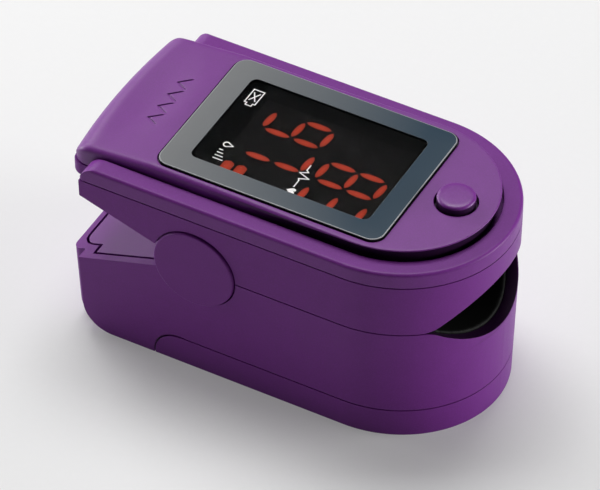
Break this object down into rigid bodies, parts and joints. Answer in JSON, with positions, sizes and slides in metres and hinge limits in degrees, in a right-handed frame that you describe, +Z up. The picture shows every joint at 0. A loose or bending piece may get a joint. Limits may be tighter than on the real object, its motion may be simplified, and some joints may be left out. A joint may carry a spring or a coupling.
{
  "type": "fingertip pulse oximeter",
  "caption": "Sprung two-jaw clip that closes on a fingertip, with silicone finger pads, an optical sensor, a display window, a power button and a sliding battery cover.",
  "frame": {"origin": "middle of the bounding box at the flat resting face", "axes": "+X towards the open end where the finger goes in, +Y towards the device's left side, +Z up"},
  "size_m": [0.0582, 0.0316, 0.0319],
  "materials": {
    "housing_plastic": "satin moulded ABS, fine spark texture",
    "cap_plastic": "satin moulded ABS",
    "tray_plastic": "matt moulded ABS",
    "button_plastic": "satin moulded ABS",
    "silicone_pad": "matt black silicone rubber",
    "window_glass": "clear acrylic, silver printed border on its back",
    "display_face": "black display face with red light bars",
    "board_laminate": "green solder mask on glass-epoxy",
    "chip_epoxy": "black moulded epoxy",
    "ceramic_parts": "tan ceramic capacitors and a metal crystal can",
    "connector_plastic": "ivory nylon",
    "flex_film": "amber polyimide film",
    "clear_epoxy": "clear epoxy",
    "emitter_epoxy": "white ceramic package with clear fill",
    "spring_steel": "drawn music wire",
    "contact_nickel": "nickel-plated spring steel",
    "screw_steel": "zinc-plated steel",
    "pin_steel": "ground steel",
    "cell_jacket": "printed film jacket over a steel can",
    "switch_plastic": "black nylon with a steel lid"
  },
  "bodies": {
    "lower_jaw": {"lower_housing": "housing_plastic", "lower_tray": "tray_plastic", "lower_finger_pad": "silicone_pad", "battery_left": "cell_jacket", "battery_right": "cell_jacket", "battery_springs": "contact_nickel", "front_contact": "contact_nickel", "rear_contacts": "contact_nickel", "sensor_board": "board_laminate", "photodiode": "chip_epoxy", "sensor_window": "clear_epoxy", "lower_screws": "screw_steel", "hinge_pins": "pin_steel", "pivot_cap_left": "cap_plastic", "pivot_cap_right": "cap_plastic", "torsion_spring_left": "spring_steel", "torsion_spring_right": "spring_steel", "flex_cable": "flex_film"},
    "upper_jaw": {"upper_housing": "housing_plastic", "upper_tray": "tray_plastic", "upper_finger_pad": "silicone_pad", "upper_rim": "housing_plastic", "top_fascia": "housing_plastic", "display_window": "window_glass", "display_module": "display_face", "main_board": "board_laminate", "processor_chip": "chip_epoxy", "amplifier_chip": "chip_epoxy", "board_passives": "ceramic_parts", "flex_connector": "connector_plastic", "tact_switch": "switch_plastic", "emitter_led": "emitter_epoxy", "emitter_window": "clear_epoxy", "upper_screws": "screw_steel"},
    "power_button": {"power_button": "button_plastic", "switch_plunger": "switch_plastic"},
    "battery_cover": {"battery_cover": "housing_plastic"}
  },
  "joints": [
    {"name": "jaw_hinge", "type": "hinge", "parent": "lower_jaw", "child": "upper_jaw", "pos_m": [-0.00852, 0, 0.0186], "axis": [0, -1, 0], "range_deg": [0, 32], "stiffness_Nm_per_rad": 0.12, "springref_deg": -28.65, "deforming": ["torsion_spring_left", "torsion_spring_right", "flex_cable"]},
    {"name": "power_button_press", "type": "slide", "parent": "upper_jaw", "child": "power_button", "axis": [0, 0, -1], "range_m": [0, 0.0003], "stiffness_N_per_m": 800, "springref_m": -0.0005},
    {"name": "battery_cover_slide", "type": "slide", "parent": "lower_jaw", "child": "battery_cover", "axis": [1, 0, 0], "range_m": [0, 0.048]}
  ]
}
